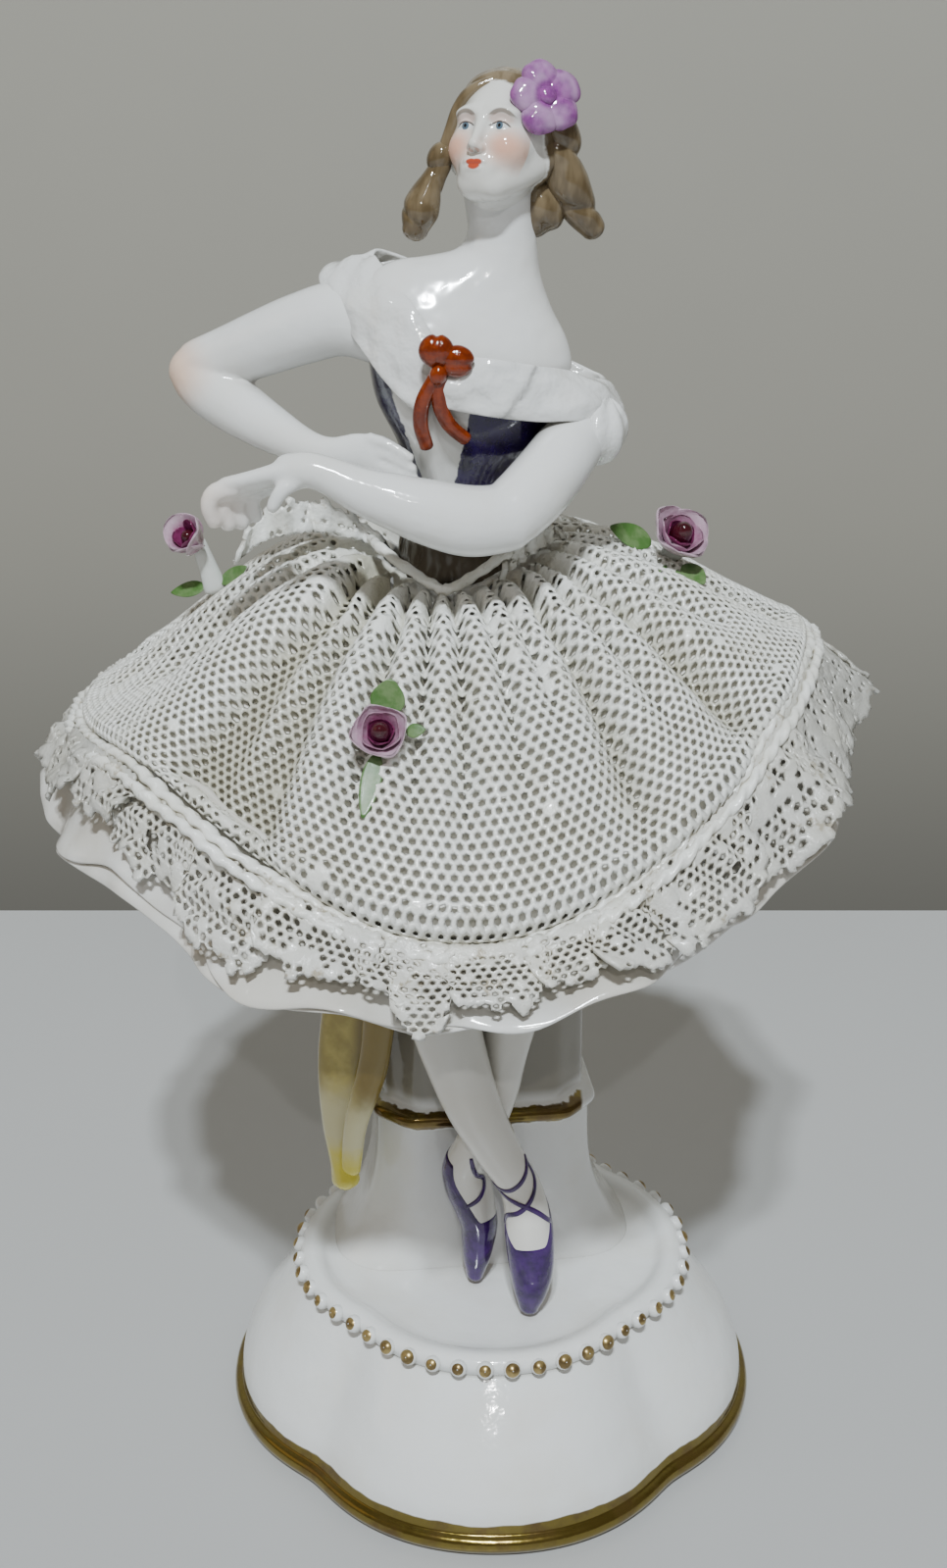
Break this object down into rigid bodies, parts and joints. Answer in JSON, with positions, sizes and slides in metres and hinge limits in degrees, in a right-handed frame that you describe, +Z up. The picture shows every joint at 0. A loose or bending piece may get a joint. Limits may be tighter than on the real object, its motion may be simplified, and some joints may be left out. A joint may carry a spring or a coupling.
{
  "type": "porcelain lace figurine",
  "caption": "Glazed porcelain dancer leaning back at a pedestal, in a bell skirt of fired lace with applied roses, on a lobed gilt plinth.",
  "frame": {"origin": "centre of the plinth's flat underside", "axes": "+Z up from the underside to the head, -Y the way the dancer faces, +X to the dancer's left"},
  "size_m": [0.1054, 0.1018, 0.1762],
  "materials": {
    "porcelain": "high gloss clear glaze on white, painted and gilt in places",
    "lace": "satin, cream white fired net",
    "petticoat": "gloss white",
    "roses": "gloss, plum and pink petals with green leaves",
    "hair_flower": "gloss lilac",
    "bow": "gloss rust orange",
    "shawl": "gloss pale yellow"
  },
  "bodies": {
    "root": {"base": "porcelain", "dancer": "porcelain", "petticoat": "petticoat", "lace_skirt": "lace", "hem_cord": "lace", "lace_flounce": "lace", "rose_spray_left": "roses", "rose_spray_front": "roses", "rose_spray_right": "roses", "hair_flower": "hair_flower", "bow": "bow", "shawl": "shawl"}
  },
  "joints": []
}
